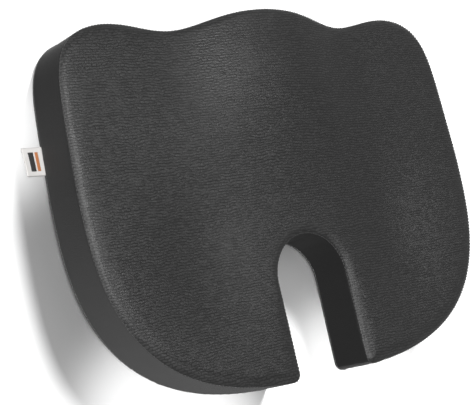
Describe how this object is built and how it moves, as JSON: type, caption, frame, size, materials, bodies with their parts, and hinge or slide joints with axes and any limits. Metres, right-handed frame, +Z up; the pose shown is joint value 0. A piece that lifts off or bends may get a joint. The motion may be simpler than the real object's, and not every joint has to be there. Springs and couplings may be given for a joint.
{
  "type": "seat cushion",
  "caption": "Contoured foam seat cushion with a U-shaped tailbone cut-out, raised front centre, sewn knit cover, grip dots underneath and a zip across the underside.",
  "frame": {"origin": "middle of the underside, on the surface the cushion rests on: the face of the grip dot at the crossing of the cushion's centre lines", "axes": "+Z up out of the seating face, +Y to the front (thigh) edge, X side to side"},
  "size_m": [0.4664, 0.3314, 0.068],
  "materials": {
    "foam": "open-cell memory foam",
    "ribbed_knit": "charcoal knit with fine cross ribs",
    "band_cloth": "smooth charcoal jersey",
    "base_cloth": "woven base cloth",
    "grip_silicone": "satin silicone",
    "thread": "twisted polyester thread",
    "zip_tape": "woven zip tape",
    "zip_coil": "nylon coil",
    "zip_metal": "gunmetal plate, lightly rubbed",
    "label_tape": "satin label tape",
    "label_print": "woven stripes"
  },
  "bodies": {
    "cushion": {"foam_core": "foam", "top_panel": "ribbed_knit", "side_band": "band_cloth", "cutout_band": "band_cloth", "bottom_panel_front": "base_cloth", "bottom_panel_rear": "base_cloth", "grip_dots": "grip_silicone", "top_seam_thread": "thread", "bottom_seam_thread": "thread", "band_join_threads": "thread", "zip_tape_front": "zip_tape", "zip_tape_rear": "zip_tape", "zip_coil_front": "zip_coil", "zip_coil_rear": "zip_coil", "zip_stitch_front": "thread", "zip_stitch_rear": "thread", "zip_top_stops": "zip_metal", "zip_bottom_stop": "zip_metal", "side_label": "label_tape", "label_stripes": "label_print"},
    "slider": {"zip_slider": "zip_metal"},
    "pull_tab": {"zip_pull": "zip_metal"}
  },
  "joints": [
    {"name": "zip_slide", "type": "slide", "parent": "cushion", "child": "slider", "axis": [1, 0, 0], "range_m": [0, 0.3]},
    {"name": "pull_swing", "type": "hinge", "parent": "slider", "child": "pull_tab", "pos_m": [-0.15, 0.1, 0.00295], "axis": [0, 1, 0], "range_deg": [0, 170]}
  ]
}
